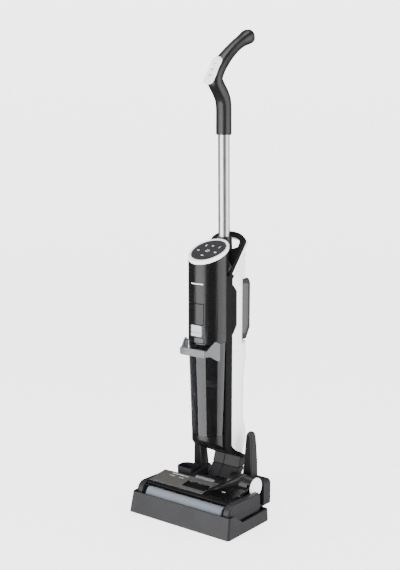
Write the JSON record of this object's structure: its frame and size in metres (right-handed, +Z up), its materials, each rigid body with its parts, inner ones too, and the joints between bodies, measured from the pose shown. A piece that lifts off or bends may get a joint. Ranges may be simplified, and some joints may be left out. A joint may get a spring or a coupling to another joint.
{
  "type": "wet dry floor scrubber",
  "caption": "Upright cordless wet dry floor scrubber with a roller head, front dirty tank, rear clean tank and battery, round display and curved grip, standing in its charging tray.",
  "frame": {"origin": "middle of the footprint of the machine in its dock, on the floor", "axes": "+Z up, -Y towards the roller side of the machine, +X towards the side with the motor barrel"},
  "size_m": [0.288, 0.2775, 1.1013],
  "materials": {
    "moulded_grey": "fine moulded texture",
    "moulded_dark": "fine moulded texture",
    "moulded_black": "satin moulding",
    "gloss_black": "polished moulding",
    "moulded_white": "semi-gloss moulding",
    "silver_plastic": "silver lacquer over plastic",
    "smoked_clear": "clear moulding with a smoke tint",
    "fleece": "short microfibre pile",
    "rubber": "matt",
    "steel": "turned and polished",
    "aluminium": "anodised tube, satin",
    "circuit_board": "solder mask"
  },
  "bodies": {
    "dock": {"dock_tray": "moulded_grey", "dock_rear_base": "moulded_grey", "dock_post_left": "moulded_grey", "dock_post_right": "moulded_grey", "dock_tool_cup": "moulded_dark", "charge_pin_left": "steel", "charge_pin_right": "steel", "dock_power_inlet": "moulded_black"},
    "head": {"head_chassis": "moulded_black", "head_cheek_left": "moulded_grey", "head_cheek_right": "moulded_grey", "rear_deck": "gloss_black", "centre_housing": "moulded_grey", "motor_barrel": "moulded_black", "barrel_cap": "moulded_white", "brush_motor": "steel", "drive_belt": "rubber", "squeegee_blade": "rubber", "spray_bar": "moulded_dark", "wheel_axle": "steel"},
    "roller": {"roller_core": "moulded_dark", "roller_sleeve": "fleece", "roller_pulley": "moulded_dark"},
    "motor_pulley": {"motor_pulley": "steel"},
    "wheel_left": {"wheel_left": "rubber"},
    "wheel_right": {"wheel_right": "rubber"},
    "window": {"window_cover": "smoked_clear"},
    "window_latch": {"window_latch": "silver_plastic"},
    "neck": {"neck_lower": "moulded_grey", "tilt_pin": "steel"},
    "upright": {"neck_upper": "moulded_grey", "spine_frame": "moulded_black", "rear_shell": "moulded_white", "handle_tube": "aluminium", "tube_socket": "moulded_black", "grip_shell": "moulded_black", "control_plate": "moulded_white", "body_shell": "gloss_black", "bezel_ring": "moulded_white", "display_panel": "gloss_black", "suction_motor": "steel", "control_board": "circuit_board", "water_pump": "moulded_dark"},
    "suction_fan": {"suction_fan": "silver_plastic"},
    "dirty_tank": {"dirty_tank": "smoked_clear", "tank_base_cap": "moulded_black", "tank_lid": "moulded_dark", "tank_filter": "fleece", "riser_tube": "moulded_dark", "tank_handle": "smoked_clear"},
    "tank_float": {"tank_float": "moulded_white"},
    "clean_tank": {"clean_tank": "moulded_white", "clean_tank_cap": "moulded_grey"},
    "battery": {"battery_pack": "moulded_dark"},
    "battery_latch": {"battery_latch": "moulded_grey"},
    "release_button": {"release_button": "silver_plastic"},
    "grip_button_1": {"grip_button_1": "silver_plastic"},
    "grip_button_2": {"grip_button_2": "silver_plastic"},
    "grip_button_3": {"grip_button_3": "silver_plastic"}
  },
  "joints": [
    {"name": "dock_lift", "type": "slide", "parent": "dock", "child": "head", "axis": [0, 0, 1], "range_m": [0, 0.3]},
    {"name": "roller_spin", "type": "hinge", "parent": "head", "child": "roller", "pos_m": [0, -0.0997, 0.042], "axis": [1, 0, 0], "continuous": true},
    {"name": "motor_pulley_spin", "type": "hinge", "parent": "head", "child": "motor_pulley", "pos_m": [0, 0.0018, 0.0757], "axis": [1, 0, 0], "continuous": true},
    {"name": "wheel_left_spin", "type": "hinge", "parent": "head", "child": "wheel_left", "pos_m": [-0.0446, 0.0163, 0.0338], "axis": [1, 0, 0], "continuous": true},
    {"name": "wheel_right_spin", "type": "hinge", "parent": "head", "child": "wheel_right", "pos_m": [0.0446, 0.0163, 0.0338], "axis": [1, 0, 0], "continuous": true},
    {"name": "window_lift", "type": "slide", "parent": "head", "child": "window", "axis": [0, 0, 1], "range_m": [0, 0.04]},
    {"name": "window_latch_press", "type": "slide", "parent": "head", "child": "window_latch", "axis": [0, 0, -1], "range_m": [0, 0.002], "stiffness_N_per_m": 400},
    {"name": "neck_tilt", "type": "hinge", "parent": "head", "child": "neck", "pos_m": [0, 0.0283, 0.056], "axis": [-1, 0, 0], "range_deg": [0, 65]},
    {"name": "neck_swivel", "type": "hinge", "parent": "neck", "child": "upright", "pos_m": [0, 0.0568, 0.0935], "axis": [0, 0, 1], "range_deg": [-24, 24]},
    {"name": "suction_fan_spin", "type": "hinge", "parent": "upright", "child": "suction_fan", "pos_m": [0, -0.0212, 0.488], "axis": [0, 0, 1], "continuous": true},
    {"name": "dirty_tank_pull", "type": "slide", "parent": "upright", "child": "dirty_tank", "axis": [0, -1, 0], "range_m": [0, 0.15]},
    {"name": "float_rise", "type": "slide", "parent": "dirty_tank", "child": "tank_float", "axis": [0, 0, 1], "range_m": [0, 0.02]},
    {"name": "clean_tank_pull", "type": "slide", "parent": "upright", "child": "clean_tank", "axis": [0, 1, 0], "range_m": [0, 0.12]},
    {"name": "battery_pull", "type": "slide", "parent": "upright", "child": "battery", "axis": [0, 1, 0], "range_m": [0, 0.1]},
    {"name": "battery_latch_slide", "type": "slide", "parent": "upright", "child": "battery_latch", "axis": [0, 0, -1], "range_m": [0, 0.0035], "stiffness_N_per_m": 400},
    {"name": "release_button_press", "type": "slide", "parent": "upright", "child": "release_button", "axis": [0, 1, 0], "range_m": [0, 0.002], "stiffness_N_per_m": 400},
    {"name": "grip_button_1_press", "type": "slide", "parent": "upright", "child": "grip_button_1", "axis": [0, 0.8194, -0.5733], "range_m": [0, 0.0012], "stiffness_N_per_m": 400},
    {"name": "grip_button_2_press", "type": "slide", "parent": "upright", "child": "grip_button_2", "axis": [0, 0.8194, -0.5733], "range_m": [0, 0.0012], "stiffness_N_per_m": 400},
    {"name": "grip_button_3_press", "type": "slide", "parent": "upright", "child": "grip_button_3", "axis": [0, 0.8194, -0.5733], "range_m": [0, 0.0012], "stiffness_N_per_m": 400}
  ],
  "couplings": [
    {"joint": "motor_pulley_spin", "follows": "roller_spin", "ratio": 1.7857}
  ]
}
